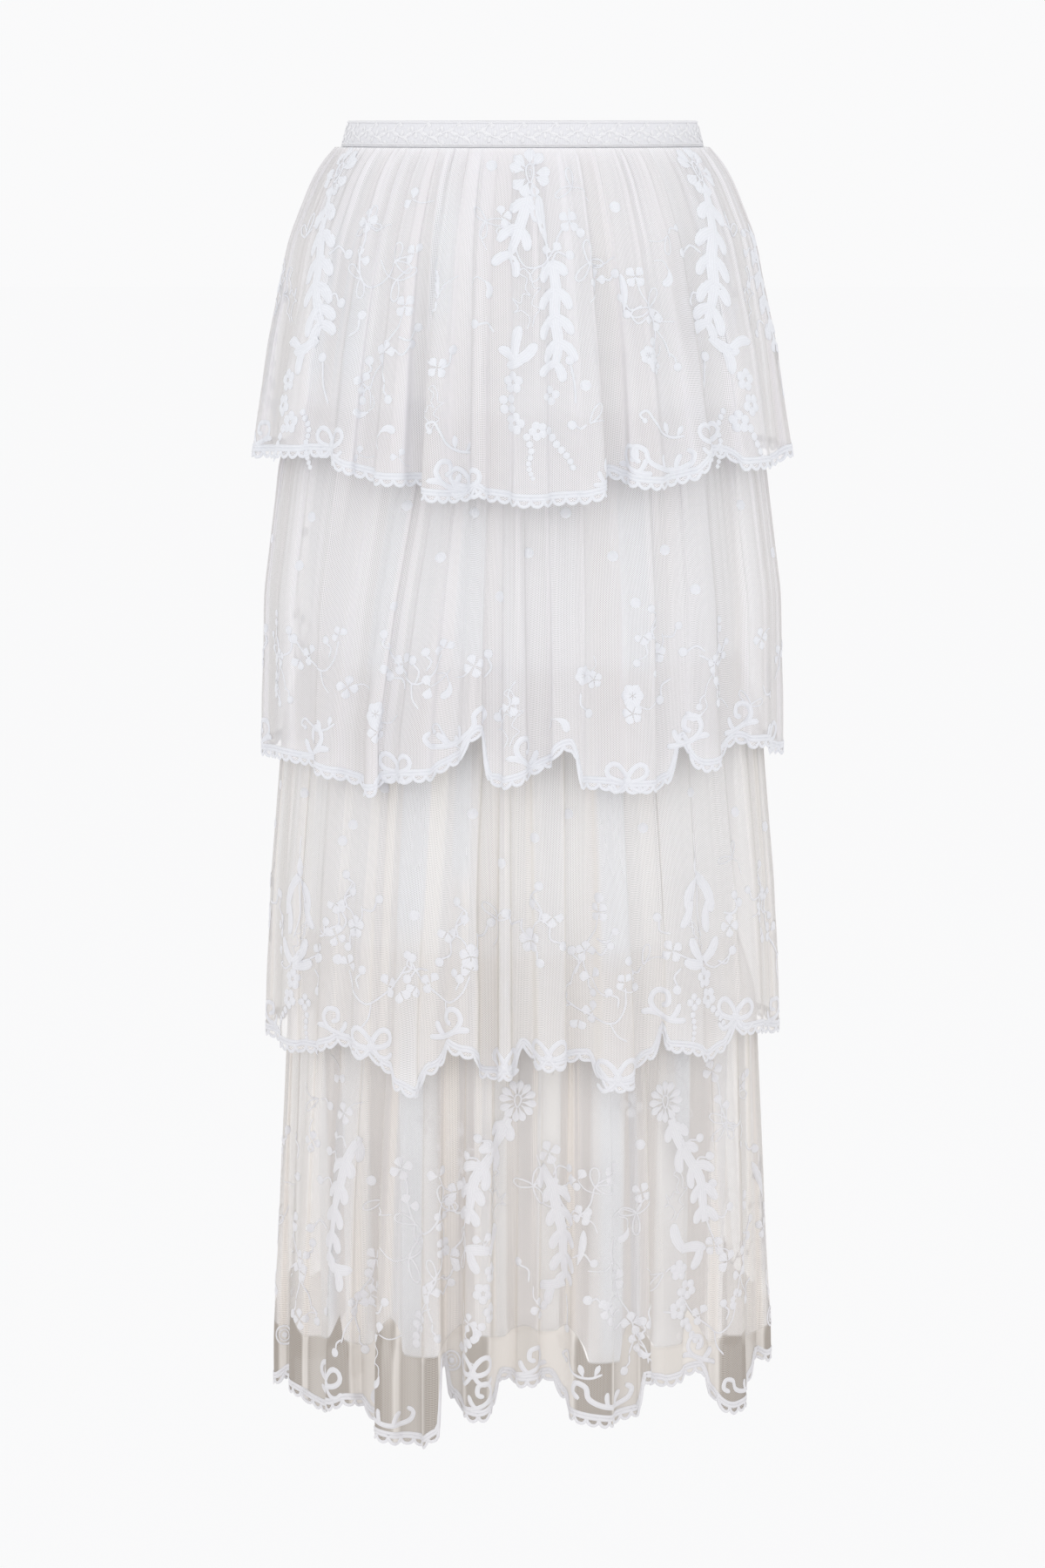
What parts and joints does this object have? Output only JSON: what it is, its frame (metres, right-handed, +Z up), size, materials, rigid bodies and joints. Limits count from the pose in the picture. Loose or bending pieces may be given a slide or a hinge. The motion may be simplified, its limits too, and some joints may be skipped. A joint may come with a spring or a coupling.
{
  "type": "tiered ruffle skirt",
  "caption": "Long hollow skirt: four gathered net tiers with corded, scalloped hems and embroidered sprays over a plain lining, on a ribbon waistband.",
  "frame": {"origin": "The middle of the waist opening, half way up the waistband, where a waist holds the skirt.", "axes": "+Z up along the skirt's length, -Y the front, +X the right side of the skirt as seen from the front."},
  "size_m": [0.3935, 0.3199, 0.9472],
  "materials": {
    "ribbon": "matte woven ribbon with a raised scroll weave, white",
    "lining": "plain satin lining, soft white",
    "net": "fine soft net, sheer, white",
    "embroidery": "raised thread embroidery and cord, slightly glossy, white"
  },
  "bodies": {
    "root": {"waistband": "ribbon", "lining_front": "lining", "lining_back": "lining", "tier1_front": "net", "tier1_back": "net", "tier2_front": "net", "tier2_back": "net", "tier3_front": "net", "tier3_back": "net", "tier4_front": "net", "tier4_back": "net", "spray_1": "embroidery", "spray_2": "embroidery", "spray_3": "embroidery", "spray_4": "embroidery", "spray_5": "embroidery", "spray_6": "embroidery", "spray_7": "embroidery", "spray_8": "embroidery", "spray_9": "embroidery", "spray_10": "embroidery", "spray_11": "embroidery", "spray_12": "embroidery"}
  },
  "joints": []
}
